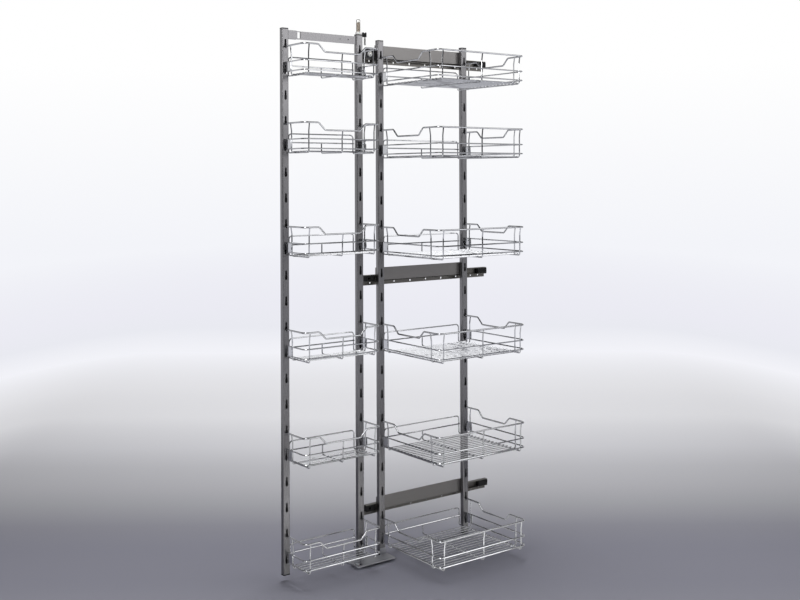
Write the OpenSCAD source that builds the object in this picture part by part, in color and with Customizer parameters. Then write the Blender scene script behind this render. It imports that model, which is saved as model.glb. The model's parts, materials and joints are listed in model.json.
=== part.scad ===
// Pull out larder unit: a door frame of six shallow wire baskets swings on a pivot,
// and pushes and pulls an inner frame of six deep wire baskets along three runners.
// X runs into the cabinet, Y towards its side wall, Z up. The origin is on the pivot
// axis, at the underside of the floor plate. The door frame is drawn swung open.

/* [Posts] */
// Length of every post with its end caps
post_len = 1614; // [1400:2:2000]
// Width of a post, along the row of slots' face
post_w = 22; // [20:1:30]
// Depth of a post, from its slotted face to its back
post_d = 16; // [15:1:24]
// Wall of the post tube
post_wall = 1.5; // [1:0.1:2]
// Radius on the outside corners of the tube
post_round = 2.5; // [2:0.5:4]
// Thickness of the flange of an end cap
cap_t = 3; // [2:0.5:5]
// Depth of an end cap's plug inside the tube
cap_plug = 8; // [6:1:8]
// Depth of the pivot post's plugs, which hold the pivot pins
pivot_plug = 16; // [12:1:16]

/* [Slots] */
// Distance from one slot to the next
slot_pitch = 76; // [70:1:90]
// Height of a slot
slot_len = 28; // [26:1:32]
// Width of the wide lower part of a slot
slot_w = 8; // [7:0.5:10]
// Width of the narrow upper part of a slot
slot_neck_w = 6; // [6:0.5:7]

/* [Frames] */
// Distance between the centres of the door frame's posts
door_span = 266; // [220:2:360]
// Distance between the centres of the inner frame's posts
inner_span = 341; // [300:1:380]
// Distance from the pivot axis to the nearest inner post, with the door frame open
frame_gap = 80; // [80:1:100]
// Height of the door posts' lower ends above the floor plate's underside
door_z = 18.5; // [17:0.5:30]
// Height of the inner posts' lower ends
inner_z = 6; // [5:0.5:20]

/* [Baskets] */
// Distance from the post face to a deep basket's front wire
inner_depth = 290; // [200:5:400]
// Distance from the post face to a shallow basket's front wire
door_depth = 103.5; // [80:0.5:104]
// Diameter of the top wire
rim_d = 5; // [4:0.5:6]
// Diameter of the middle and low wires, and of the upright wires
rail_d = 4; // [3:0.5:4]
// Diameter of the base wires
base_d = 3; // [2:0.5:3]
// How far below the centre of the next slot up the top wire hooks in
rim_drop = 8; // [6:0.5:9]
// How far the top wire dips
dip = 22; // [10:1:26]
// Height of the middle wire
mid_h = 20.5; // [18:0.5:24]
// Height of the low wire below the slot's centre
low_drop = 7.7; // [5:0.1:9]
// Height of the back fence's top wire
fence_h = 38; // [32:1:42]
// Distance between base wires
base_pitch = 17; // [15:0.5:20]

/* [Pivots] */
// Diameter of the upper pivot pin
pin_d = 12.5; // [10:0.5:14]
// Height of the upper pivot pin above the post's cap
pin_h = 47; // [40:1:80]
// Diameter of the lower pivot pin
foot_pin_d = 12; // [10:0.5:14]
// Running clearance of a pin in its bush, on the radius
run_gap = 0.05; // [0.02:0.01:0.1]

/* [Runners] */
// Distance from the pivot axis to the rails' front ends
rail_front = 35; // [34:1:36]
// Length of a fixed rail beyond the inner frame's travel
rail_tail = 39; // [20:1:80]
// Height of a carrier plate
plate_h = 40; // [40:1:50]
// Thickness of a carrier plate
plate_t = 3; // [2:0.5:4]
// Height of the lowest carrier plate's centre
plate_low = 165; // [140:1:400]
// Height of the middle carrier plate's centre
plate_mid = 885; // [700:1:1000]
// From the top of the inner posts down to the top carrier plate's centre
plate_drop = 35; // [28:1:100]
// Travel of the inner frame as the door frame swings a quarter turn
travel = 64; // [60:1:68]

/* [Hidden] */
$fn = 48;
EPS = 0.01;
SEAT = 0.3; // gap between a piece and what it rests on
WELD = 0.4; // depth by which welded wires sink into each other
KNEE = 0.05; // how far the ball at a knee stands out from its wire

steel = "#a8a8ac";
chrome = "#d8d8dc";
dark_steel = "#6a6865";
black = "#161618";
nylon = "#e6e6e8";

// Places along the row
P1 = -door_span;
P2 = 0;
P3 = frame_gap;
P4 = frame_gap + inner_span;
face_y = -post_d / 2; // the slotted face
back_y = post_d / 2;
door_top = door_z + post_len;
inner_top = inner_z + post_len;
end_margin = 30; // least distance from a slot's centre to the post's end
slot_count = floor((post_len - 2 * end_margin) / slot_pitch) + 1;
slot_margin = (post_len - (slot_count - 1) * slot_pitch) / 2;
door_slot0 = door_top - slot_margin;
inner_slot0 = inner_top - slot_margin;
// The slots that carry a basket, counted from the top: the second, then evenly up from the last
level_step = floor((slot_count - 1) / 5);
LEVELS = concat([1], [for (i = [4:-1:0]) slot_count - 1 - i * level_step]);

// Inside of the post tube
tube_w = post_w - 2 * post_wall;
tube_d = post_d - 2 * post_wall;
plug_gap = 0.15;

// Rail section: a flat fixing strip below a channel, with a ball race above and below
rail_t = 1.5;
flange_t = 2;
race_in = 5.5; // half height of the moving rail
race_gap = 3.5; // room for the balls between the two rails
race_out = race_in + race_gap;
strip_drop = 16; // from a plate's lower edge down to the rail's lower edge
channel_depth = 14;
rail_stand = 4; // from the carrier plate's back to the channel's mouth
wall_y = back_y + plate_t + rail_stand + channel_depth;
track_up = 6; // from a plate's lower edge to its rail's centre line
ball_r = 2.2;
race_r = ball_r + 0.1;
race_y = wall_y - 9;
hole_r = 2.75;
hole_drop = 8.5; // from a plate's lower edge down to the line of fixing holes
plate_x0 = P3 - post_w / 2;
plate_len = inner_span + post_w;
plate_top = inner_top - plate_drop;
PLATES = [plate_low, plate_mid, plate_top];
rail_len = plate_x0 - rail_front + plate_len + travel + rail_tail;
row_start = 120; // from a rail's front end to its row of evenly spaced holes
hole_pitch = 64;
HOLES = concat([25], [for (h = [row_start:hole_pitch:rail_len - 50]) h], [rail_len - 28]);
TALL_HOLES = [row_start + hole_pitch, row_start + 3 * hole_pitch];
tall_by = 1.5; // how far a tall hole reaches beyond a round one, up and down

// Drive: a roller on the pivot post's lever works in a cross slot on the inner frame
lever_x = travel / 2;
lever_r = lever_x * sqrt(2);
lever_t = 4;
lever_gap = 0.3;
lever_z = door_z - lever_gap - lever_t;
roller_r = 7;
stud_r = 3;
slot_play = 2; // each side of the roller, for the sine of the lever against the even slide
seat_play = 0.6; // each side of it where it stands with the frame open or closed
taper = 0.3; // how much the cross slot widens each side, per mm away from there
yoke_t = 4;
yoke_z = 7;
yoke_rim = 7;
yoke_foot_t = 2.5;
yoke_foot_h = 22; // up the post's face

module rounded_rect(w, d, r) {
    square([w - 2 * r, d], center = true);
    square([w, d - 2 * r], center = true);
    for (sx = [-1, 1], sy = [-1, 1])
        translate([sx * (w / 2 - r), sy * (d / 2 - r)]) circle(r);
}

// A box given by its two corners
module block(a, b) {
    translate(a) cube(b - a);
}

// A round bar from one point to another
module bar(a, b, d) {
    v = b - a;
    n = norm(v);
    translate(a)
        rotate([0, acos(v[2] / n), atan2(v[1], v[0])])
        cylinder(h = n, d = d);
}

function unit(v) = v / norm(v);
// How far before a corner a bend of radius r starts
function bend_start(p, i, r) =
    let (u = unit(p[i] - p[i - 1]), v = unit(p[i + 1] - p[i]))
    r * tan(acos(u * v) / 2);
function first_cut(p, i, r) = i == 0 ? 0 : bend_start(p, i, r[i]);
function last_cut(p, i, r) = i == len(p) - 2 ? 0 : bend_start(p, i + 1, r[i + 1]);

// A quarter or part bend of a wire at point i of its path
module bend(p, i, r, d) {
    u = unit(p[i] - p[i - 1]);
    v = unit(p[i + 1] - p[i]);
    turn = acos(u * v);
    start = p[i] - u * r * tan(turn / 2);
    inward = unit(v - u * (u * v));
    centre = start + inward * r;
    n = cross(-inward, u);
    multmatrix([[-inward[0], u[0], n[0], centre[0]],
                [-inward[1], u[1], n[1], centre[1]],
                [-inward[2], u[2], n[2], centre[2]],
                [0, 0, 0, 1]])
        rotate_extrude(angle = turn) translate([r, 0]) circle(d / 2);
}

// A wire of diameter d along path p, with bend radius r[i] at point i, or a sharp knee at 0
module wire(p, r, d) {
    for (i = [0:len(p) - 2]) {
        w = unit(p[i + 1] - p[i]);
        bar(p[i] + w * first_cut(p, i, r), p[i + 1] - w * last_cut(p, i, r), d);
    }
    for (i = [1:len(p) - 2])
        if (r[i] > 0) bend(p, i, r[i], d);
        else translate(p[i]) sphere(d / 2 + KNEE);
}

module slot_cut() {
    low_r = slot_w / 2;
    top_r = slot_neck_w / 2;
    rotate([90, 0, 0]) {
        translate([0, -slot_len / 2 + low_r, 0]) cylinder(h = 4 * post_wall, r = low_r, center = true);
        translate([-low_r, -slot_len / 2 + low_r, -2 * post_wall])
            cube([slot_w, slot_len / 2 - low_r, 4 * post_wall]);
        translate([-top_r, -1, -2 * post_wall])
            cube([slot_neck_w, slot_len / 2 - top_r + 1, 4 * post_wall]);
        translate([0, slot_len / 2 - top_r, 0]) cylinder(h = 4 * post_wall, r = top_r, center = true);
    }
}

// The tube of a post, its lower end at z
module post(x, z, slot0, screw_holes = []) {
    difference() {
        translate([x, 0, z + cap_t]) linear_extrude(post_len - 2 * cap_t) difference() {
            rounded_rect(post_w, post_d, post_round);
            rounded_rect(tube_w, tube_d, post_round - post_wall);
        }
        for (k = [0:slot_count - 1])
            translate([x, face_y + post_wall / 2, slot0 - k * slot_pitch]) slot_cut();
        for (h = screw_holes)
            translate([x, back_y - post_wall / 2, h])
                rotate([90, 0, 0]) cylinder(h = 4 * post_wall, r = screw_r + 0.1, center = true);
    }
}

// An end cap, its flange's outer face at z, its plug pointing up or down
module cap(x, z, up, plug = cap_plug, bore = 0) {
    translate([x, 0, z]) mirror([0, 0, up ? 0 : 1]) difference() {
        union() {
            linear_extrude(cap_t) rounded_rect(post_w, post_d, post_round);
            translate([0, 0, cap_t]) linear_extrude(plug)
                rounded_rect(tube_w - 2 * plug_gap, tube_d - 2 * plug_gap, 1);
        }
        if (bore > 0) translate([0, 0, -EPS]) cylinder(h = cap_t + plug + 1, d = bore);
    }
}

// ---- Baskets. Each is drawn from the centre of its left slot on the post's face,
// with its depth along -Y and its width along +X.
rail_r = rail_d / 2;
rim_h = slot_pitch - rim_drop; // above the centre of the slot that holds the basket
low_h = -low_drop;
rim_y = post_wall + SEAT + rim_d / 2; // the rim's hooked ends, behind the post's wall
inside = 2 * rail_r - WELD; // an upright stands this far inside the wires it is welded to
grid_h = low_h - rail_r - base_d / 2 - 0.05;
under_h = grid_h - base_d / 2 - rail_r - 0.1; // the wires that run under the base
corner_r = 15;
bend_r = 6; // of the uprights, where they turn under the base
fence_r = 10; // of the back fence's top corners
hook_r = 4; // of the rim's hooked ends
rim_hook = 12; // how far the hooked ends reach down
dip_back = 65; // from the post to the dip in a side
dip_front = 75; // from the dip in a side to the front
dip_in = 50; // from a side to the dip in the front
end_gap = 0.5; // from the post to the ends of the middle and low wires
plate_reach = 32; // the hook plate's length from the post
plate_root = 6; // depth of the part of it below the low wire
hook_t = 2.5;
hook_leg = 3;
hook_up = 4; // top of the tab, above the slot's centre
hook_down = 7; // how far the tab's hook reaches below the slot
hook_play = 0.5; // below the tab, in the slot
front_in = 18; // the front uprights, from the side wires
run_back = 7; // from the post to the back ends of their runs under the base
leg_in = front_in + inside; // the back fence's legs, welded beside those runs
foot_front = 20.5; // from the post to the front ends of the legs' feet under the base
fence_clear = 0.5; // from the back fence to the plane of the posts' backs
fence_y = post_d - rail_r - fence_clear;
fence_mid = 12; // height of the fence's lower wire
side_back = 28; // a side's back upright, from the post
side_front = 43; // a deep side's front upright, from the front
grid_back = 19.5; // from the post to the first base wire
grid_front = 13.5; // least distance from the last base wire to the front
grid_out = 1.5; // how far the base wires run past the side wires
cross_in = 9; // the cross wires below the base wires, from the sides
cross_past = 3; // how far they run past the first and last base wire

function mirrored(p, span) = [for (i = [len(p) - 1:-1:0]) [span - p[i][0], p[i][1], p[i][2]]];
function reversed(v) = [for (i = [len(v) - 1:-1:0]) v[i]];

// Left half of the rim: straight sides, or sides that dip between two slopes
function rim_side(depth, side_dip) = concat(
    [[0, rim_y, rim_h - rim_hook], [0, rim_y, rim_h]],
    side_dip ? [[0, -dip_back, rim_h], [0, -dip_back - dip, rim_h - dip],
                [0, dip_front - depth + dip, rim_h - dip], [0, dip_front - depth, rim_h]] : []);
function rim_front(span, depth, side_dip) = concat(
    [[0, -depth, rim_h]],
    side_dip ? [] : [[dip_in, -depth, rim_h], [dip_in + dip, -depth, rim_h - dip]]);
function rim_half(span, depth, side_dip) =
    concat(rim_side(depth, side_dip), rim_front(span, depth, side_dip));
function rim_bends(side_dip) =
    side_dip ? [0, hook_r, 0, 0, 0, 0, corner_r] : [0, hook_r, corner_r, 0, 0];

module loop_wire(span, depth, h) {
    wire([[0, -end_gap, h], [0, -depth, h], [span, -depth, h], [span, -end_gap, h]],
         [0, corner_r, corner_r, 0], rail_d);
}

// Flat plate between the low and middle wires, with a tab that hooks into the slot
module hook_plate(x) {
    tab_low = -slot_len / 2 + hook_play;
    leg_y = post_wall + SEAT;
    left = x - hook_t / 2;
    right = x + hook_t / 2;
    block([left, -plate_reach, low_h], [right, -SEAT, mid_h]);
    block([left, -plate_root, tab_low], [right, -SEAT, low_h]);
    block([left, -SEAT - EPS, tab_low], [right, leg_y, hook_up]);
    block([left, leg_y - EPS, tab_low - hook_down], [right, leg_y + hook_leg, hook_up]);
}

module basket_frame(span, depth, side_dip) {
    half = rim_half(span, depth, side_dip);
    bends = rim_bends(side_dip);
    front_y = -depth + inside;
    top = rim_h + 1;
    mid_top = side_dip ? top : top - dip;
    wire(concat(half, mirrored(half, span)), concat(bends, reversed(bends)), rim_d);
    loop_wire(span, depth, mid_h);
    loop_wire(span, depth, low_h);
    hook_plate(0);
    hook_plate(span);
    // the back fence, a wire with a foot under the base at each end
    fence = [[leg_in, -foot_front, under_h], [leg_in, fence_y, under_h], [leg_in, fence_y, fence_h]];
    wire(concat(fence, mirrored(fence, span)), [0, bend_r, fence_r, fence_r, bend_r, 0], rail_d);
    bar([leg_in - 1, fence_y - inside, fence_mid], [span - leg_in + 1, fence_y - inside, fence_mid], rail_d);
    // front uprights, each running back under the base
    for (x = [front_in, span - front_in])
        wire([[x, front_y, top], [x, front_y, under_h], [x, -run_back, under_h]],
             [0, bend_r, 0], rail_d);
    wire([[span / 2, front_y, mid_top], [span / 2, front_y, under_h], [span / 2, fence_y, under_h],
          [span / 2, fence_y, fence_mid + 1]], [0, bend_r, bend_r, 0], rail_d);
    for (x = [inside, span - inside], y = side_dip ? [-side_back, side_front - depth] : [-side_back])
        bar([x, y, under_h + 2], [x, y, top], rail_d);
}

module basket_grid(span, depth) {
    count = floor((depth - grid_back - grid_front) / base_pitch) + 1;
    last = grid_back + (count - 1) * base_pitch;
    cross_h = grid_h - base_d + WELD;
    for (i = [0:count - 1])
        bar([-grid_out, -grid_back - i * base_pitch, grid_h],
            [span + grid_out, -grid_back - i * base_pitch, grid_h], base_d);
    for (x = [cross_in, span - cross_in])
        bar([x, cross_past - grid_back, cross_h], [x, -last - cross_past, cross_h], base_d);
}

module inner_basket(i) {
    color(chrome) translate([P3, face_y, inner_slot0 - LEVELS[i - 1] * slot_pitch])
        basket_frame(inner_span, inner_depth, true);
}

module inner_grid(i) {
    color(chrome) translate([P3, face_y, inner_slot0 - LEVELS[i - 1] * slot_pitch])
        basket_grid(inner_span, inner_depth);
}

module door_basket(i) {
    color(chrome) translate([P1, face_y, door_slot0 - LEVELS[i - 1] * slot_pitch])
        basket_frame(door_span, door_depth, false);
}

module door_grid(i) {
    color(chrome) translate([P1, face_y, door_slot0 - LEVELS[i - 1] * slot_pitch])
        basket_grid(door_span, door_depth);
}

// ---- Runners
screw_r = 2.4;
head_r = 4;
head_h = 2.2;
screw_past = 3; // how far a screw reaches into the post
screw_up = 13; // from a plate's centre to its screws
function track_z(plate_z) = plate_z - plate_h / 2 + track_up;

module fixed_rail(plate_z) {
    z = track_z(plate_z);
    mouth = wall_y - channel_depth;
    x1 = rail_front + rail_len;
    outer = race_out + flange_t;
    low = plate_z - plate_h / 2 - strip_drop;
    color(steel) difference() {
        union() {
            block([rail_front, wall_y - rail_t, low], [x1, wall_y, z + outer]);
            block([rail_front, mouth, z + race_out], [x1, wall_y, z + outer]);
            block([rail_front, mouth, z - outer], [x1, wall_y, z - race_out]);
        }
        for (s = [-1, 1])
            translate([rail_front - 1, race_y, z + s * (race_in + race_gap / 2)])
                rotate([0, 90, 0]) cylinder(h = rail_len + 2, r = race_r);
        for (h = HOLES)
            translate([rail_front + h, wall_y, plate_z - plate_h / 2 - hole_drop])
                rotate([90, 0, 0]) cylinder(h = 3 * rail_t, r = hole_r, center = true);
        for (h = TALL_HOLES, up = [-tall_by, tall_by])
            translate([rail_front + h, wall_y, plate_z - plate_h / 2 - hole_drop + up])
                rotate([90, 0, 0]) cylinder(h = 3 * rail_t, r = hole_r, center = true);
    }
}

module moving_rail(plate_z) {
    z = track_z(plate_z);
    y0 = back_y + plate_t;
    tip = wall_y - 5;
    color(steel) difference() {
        union() {
            block([plate_x0, y0, z - race_in], [plate_x0 + plate_len, y0 + rail_t, z + race_in]);
            block([plate_x0, y0, z + race_in - flange_t], [plate_x0 + plate_len, tip, z + race_in]);
            block([plate_x0, y0, z - race_in], [plate_x0 + plate_len, tip, z - race_in + flange_t]);
        }
        for (s = [-1, 1])
            translate([plate_x0 - 1, race_y, z + s * (race_in + race_gap / 2)])
                rotate([0, 90, 0]) cylinder(h = plate_len + 2, r = race_r);
    }
}

cage_x0 = plate_x0 + travel / 2 + 4;
cage_len = plate_len - travel / 2 - 6;
cage_t = 0.8;
cage_end = 8; // from a cage's end to its first ball
cage_back = 4; // a cage's web, from the wall
cage_edge = 4; // how far a cage reaches past its balls' centres
ball_pitch = 32;
ball_count = floor((cage_len - 2 * cage_end) / ball_pitch) + 1;

module ball_cage(plate_z) {
    z = track_z(plate_z);
    mid = race_in + race_gap / 2;
    web = wall_y - cage_back;
    difference() {
        union() {
            block([cage_x0, web, z - mid], [cage_x0 + cage_len, web + cage_t, z + mid]);
            for (s = [-1, 1])
                block([cage_x0, race_y - cage_edge, z + s * mid - cage_t / 2],
                      [cage_x0 + cage_len, web + cage_t, z + s * mid + cage_t / 2]);
        }
        for (i = [0:ball_count - 1])
            translate([cage_x0 + cage_end + i * ball_pitch, race_y, z - 2 * mid])
                cylinder(h = 4 * mid, r = ball_r + run_gap);
    }
}

module ball_cages() {
    color(dark_steel) for (p = PLATES) ball_cage(p);
}

module bearing_balls() {
    mid = race_in + race_gap / 2;
    color(chrome) for (p = PLATES, s = [-1, 1], i = [0:ball_count - 1])
        translate([cage_x0 + cage_end + i * ball_pitch, race_y, track_z(p) + s * mid]) sphere(ball_r);
}

module carrier_plate(plate_z) {
    color(dark_steel) difference() {
        block([plate_x0, back_y, plate_z - plate_h / 2],
              [plate_x0 + plate_len, back_y + plate_t, plate_z + plate_h / 2]);
        for (x = [P3, P4])
            translate([x, back_y + plate_t / 2, plate_z + screw_up])
                rotate([90, 0, 0]) cylinder(h = 3 * plate_t, r = screw_r + 0.1, center = true);
    }
}

module plate_screws() {
    color(chrome) for (p = PLATES, x = [P3, P4])
        translate([x, back_y + plate_t, p + screw_up]) {
            rotate([90, 0, 0]) cylinder(h = plate_t + post_wall + screw_past, r = screw_r);
            rotate([-90, 0, 0]) cylinder(h = head_h, r = head_r);
        }
}

// Stops in the fixed rails' front ends
stop_gap = 1;
stop_half = race_out - SEAT;
stop_y0 = wall_y - channel_depth - 2;
stop_y1 = wall_y - rail_t - SEAT;
recess_r = 4.5;
recess_x = rail_front + 12;
module front_block(plate_z) {
    z = track_z(plate_z);
    difference() {
        block([rail_front, stop_y0, z - stop_half], [plate_x0 - stop_gap, stop_y1, z + stop_half]);
        translate([recess_x, stop_y0, z]) rotate([90, 0, 0]) cylinder(h = 40, r = recess_r, center = true);
    }
}

module front_blocks() {
    color(black) for (p = [plate_low, plate_mid]) front_block(p);
}

// Roller on a bracket at the front end of the top rail
nose_r = 8;
nose_w = 6;
nose_x = rail_front + 15;
nose_y = back_y + 1;
nose_z = track_z(plate_top) + race_in;
nose_pin_r = 2;
nose_head_r = 3.5;
nose_head_h = 1.2;
nose_tail = 4; // how far the roller's pin reaches into the bracket
hood_t = 1.8;
hood_up = 21; // from the rail's centre line to the hood's top

module roller_bracket() {
    z = track_z(plate_top);
    x1 = plate_x0 - stop_gap;
    mouth = wall_y - channel_depth;
    hood_z = z + hood_up;
    color(dark_steel) difference() {
        union() {
            block([rail_front, mouth - hood_t, z - race_out], [x1, mouth, hood_z]);
            block([rail_front, nose_y - nose_w / 2, hood_z - hood_t], [x1, mouth, hood_z]);
            block([rail_front, mouth, z - stop_half], [x1, stop_y1, z + stop_half]);
        }
        translate([nose_x, wall_y, nose_z]) rotate([90, 0, 0])
            cylinder(h = 60, r = nose_pin_r + run_gap, center = true);
    }
}

module roller_pin() {
    head_y = nose_y - nose_w / 2 - SEAT;
    tail_y = wall_y - channel_depth + nose_tail;
    color(chrome) translate([nose_x, 0, nose_z]) {
        translate([0, tail_y, 0]) rotate([90, 0, 0]) cylinder(h = tail_y - head_y, r = nose_pin_r);
        translate([0, head_y, 0]) rotate([90, 0, 0]) cylinder(h = nose_head_h, r = nose_head_r);
    }
}

module front_roller() {
    color(nylon) translate([nose_x, nose_y, nose_z]) rotate([90, 0, 0]) difference() {
        cylinder(h = nose_w, r = nose_r, center = true);
        cylinder(h = 2 * nose_w, r = nose_pin_r + run_gap, center = true);
    }
}

module rear_bumpers() {
    x0 = plate_x0 + plate_len + travel + stop_gap;
    color(black) for (p = PLATES)
        block([x0, stop_y0, track_z(p) - stop_half],
              [rail_front + rail_len, stop_y1, track_z(p) + stop_half]);
}

// ---- Pivots and drive
shank_d = 8;
shank_in = 1; // how far a shank reaches into the pin's wide part
floor_t = 4;
floor_w = 84;
floor_d = 44;
floor_round = 6;
floor_screw_x = 32;
floor_screw_y = 12;
floor_screw_r = 2.5;
bush_r = foot_pin_d / 2 + 4;
bush_floor = 1;
bush_top = lever_z - 2.5 * lever_gap;
hub_r = foot_pin_d / 2 + 6;
eye_r = 9; // of the lever's end, round the roller's stud
arm_w = 14;

module floor_plate() {
    color(dark_steel) difference() {
        linear_extrude(floor_t) rounded_rect(floor_w, floor_d, floor_round);
        for (x = [-floor_screw_x, floor_screw_x], y = [-floor_screw_y, floor_screw_y])
            translate([x, y, -1]) cylinder(h = floor_t + 2, r = floor_screw_r);
    }
}

module floor_bush() {
    color(nylon) difference() {
        translate([0, 0, floor_t]) cylinder(h = bush_top - floor_t, r = bush_r);
        translate([0, 0, floor_t + bush_floor]) cylinder(h = bush_top, d = foot_pin_d + 2 * run_gap);
    }
}

module pivot_pin_bottom() {
    foot_z = floor_t + bush_floor + SEAT;
    color(steel) {
        translate([0, 0, foot_z]) cylinder(h = door_z - lever_gap - foot_z, d = foot_pin_d);
        translate([0, 0, door_z - shank_in]) cylinder(h = cap_t + pivot_plug, d = shank_d);
    }
}

module drive_lever() {
    stud_z = yoke_z - 2;
    color(dark_steel) {
        translate([0, 0, lever_z]) linear_extrude(lever_t) difference() {
            union() {
                circle(hub_r);
                translate([-lever_x, -lever_x]) circle(eye_r);
                rotate([0, 0, 225]) translate([0, -arm_w / 2]) square([lever_r, arm_w]);
            }
            circle(foot_pin_d / 2 + run_gap);
        }
        translate([-lever_x, -lever_x, stud_z]) cylinder(h = lever_z - stud_z + EPS, r = stud_r);
    }
}

module drive_roller() {
    color(nylon) translate([-lever_x, -lever_x, yoke_z - 1]) difference() {
        cylinder(h = lever_z - yoke_z + 1 - SEAT, r = roller_r);
        translate([0, 0, -1]) cylinder(h = lever_z, r = stud_r + run_gap);
    }
}

module drive_yoke() {
    slot_half = roller_r + slot_play;
    seat_half = roller_r + seat_play;
    taper_len = (slot_half - seat_half) / taper;
    y_in = -lever_x + seat_half;
    y_out = -lever_r - slot_half;
    x0 = -lever_x - slot_half - yoke_rim;
    x1 = P3 + post_w / 2;
    color(dark_steel) difference() {
        union() {
            block([x0, y_out - yoke_rim, yoke_z], [x1, y_in + yoke_rim, yoke_z + yoke_t]);
            block([P3 - post_w / 2, y_in + yoke_rim - EPS, yoke_z], [x1, face_y - SEAT, yoke_z + yoke_t]);
            block([P3 - post_w / 2, face_y - SEAT - yoke_foot_t, yoke_z],
                  [x1, face_y - SEAT, inner_z + yoke_foot_h]);
        }
        translate([-lever_x, 0, yoke_z - 1]) linear_extrude(yoke_t + 2) {
            translate([0, -lever_x]) circle(seat_half);
            translate([0, -lever_r]) circle(slot_half);
            polygon([[-seat_half, -lever_x], [-slot_half, -lever_x - taper_len], [-slot_half, -lever_r],
                     [slot_half, -lever_r], [slot_half, -lever_x - taper_len], [seat_half, -lever_x]]);
        }
    }
}

washer_h = 9;
washer_low = 20; // the washer's diameter on the cap
washer_up = 15; // its diameter under the pin
tip_h = 3;
tip_in = 2; // how far the tip narrows, on the radius
module pivot_pin_top() {
    color("#8f8880") {
        translate([0, 0, door_top + washer_h]) cylinder(h = pin_h - washer_h - tip_h, d = pin_d);
        translate([0, 0, door_top + pin_h - tip_h]) cylinder(h = tip_h, d1 = pin_d, d2 = pin_d - 2 * tip_in);
        translate([0, 0, door_top - pivot_plug])
            cylinder(h = pivot_plug + washer_h + shank_in, d = shank_d);
    }
}

module pin_washer() {
    color(nylon) difference() {
        translate([0, 0, door_top]) cylinder(h = washer_h, d1 = washer_low, d2 = washer_up);
        translate([0, 0, door_top - 1]) cylinder(h = washer_h + 2, d = shank_d + 2 * run_gap);
    }
}

// Release clip of the upper pin: a block with two lobes, on a web from the pivot post's side
clip_x = post_w / 2 + SEAT;
clip_reach = 18; // from the clip's web to its outer face
clip_half = 3.5;
clip_drop = 6; // below the post's top
web_len = 4.5;
web_h = 5;
block_up = 5.5;
lobe_up = 8.5;
lobe_t = 4;
rod_d = 6;
rod_x = clip_x + 13.3;
rod_up = 4;
rod_down = 31;
module pin_clip() {
    x1 = clip_x + clip_reach;
    low = door_top - clip_drop;
    color(black) difference() {
        union() {
            block([clip_x, -clip_half, low], [clip_x + web_len + EPS, clip_half, low + web_h]);
            block([clip_x + web_len, -clip_half, low], [x1, clip_half, door_top + block_up]);
            for (x = [clip_x + web_len, x1 - lobe_t])
                block([x, -clip_half, low], [x + lobe_t, clip_half, door_top + lobe_up]);
        }
        translate([rod_x, 0, low - 1]) cylinder(h = clip_drop + rod_up + 1 + SEAT, d = rod_d + 2 * run_gap);
    }
}

module clip_rod() {
    color(chrome) translate([rod_x, 0, door_top - rod_down]) cylinder(h = rod_up + rod_down, d = rod_d);
}

// Bar between the door posts' tops, with its sleeve at the outer post
bar_h = 24;
bar_t = 6;
bar_top = door_top - 6.5;
bar_gap = 0.05;
bar_x0 = P1 + post_w / 2 + bar_gap;
bar_x1 = P2 - post_w / 2 - bar_gap;
window_x = 33; // from the bar's end to its window
window_w = 12;
window_low = 3; // metal left below the window
window_high = 2; // metal left above it
bar_hole_r = 2.2;
BAR_HOLES = [29, 59]; // from the bar's other end
module top_bar() {
    color(steel) difference() {
        block([bar_x0, -bar_t / 2, bar_top - bar_h], [bar_x1, bar_t / 2, bar_top]);
        block([bar_x0 + window_x, -bar_t, bar_top - bar_h + window_low],
              [bar_x0 + window_x + window_w, bar_t, bar_top - window_high]);
        for (x = BAR_HOLES)
            translate([bar_x1 - x, 0, bar_top - bar_h / 2])
                rotate([90, 0, 0]) cylinder(h = 3 * bar_t, r = bar_hole_r, center = true);
    }
}

sleeve_len = 30;
sleeve_t = 2.5;
sleeve_up = 1;
module bar_connector() {
    color(steel) difference() {
        block([bar_x0, -bar_t / 2 - sleeve_t, bar_top - bar_h - sleeve_up],
              [bar_x0 + sleeve_len, bar_t / 2 + sleeve_t, bar_top + sleeve_up]);
        block([bar_x0 - 1, -bar_t / 2 - bar_gap, bar_top - bar_h - bar_gap],
              [bar_x0 + sleeve_len + 1, bar_t / 2 + bar_gap, bar_top + bar_gap]);
    }
}

module rail_top() fixed_rail(plate_top);
module rail_middle() fixed_rail(plate_mid);
module rail_bottom() fixed_rail(plate_low);
module moving_rail_top() moving_rail(plate_top);
module moving_rail_middle() moving_rail(plate_mid);
module moving_rail_bottom() moving_rail(plate_low);
module carrier_plate_top() carrier_plate(plate_top);
module carrier_plate_middle() carrier_plate(plate_mid);
module carrier_plate_bottom() carrier_plate(plate_low);

SCREW_HEIGHTS = [for (p = PLATES) p + screw_up];
module inner_post_front() color(steel) post(P3, inner_z, inner_slot0, SCREW_HEIGHTS);
module inner_post_back() color(steel) post(P4, inner_z, inner_slot0, SCREW_HEIGHTS);
module door_post_outer() color(steel) post(P1, door_z, door_slot0);
module door_post_pivot() color(steel) post(P2, door_z, door_slot0);

module inner_post_caps() {
    color(black) for (x = [P3, P4]) {
        cap(x, inner_z, true);
        cap(x, inner_top, false);
    }
}

module door_post_caps() {
    bore = shank_d + 2 * run_gap;
    color(black) {
        cap(P1, door_z, true);
        cap(P1, door_top, false);
        cap(P2, door_z, true, pivot_plug, bore);
        cap(P2, door_top, false, pivot_plug, bore);
    }
}

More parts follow.
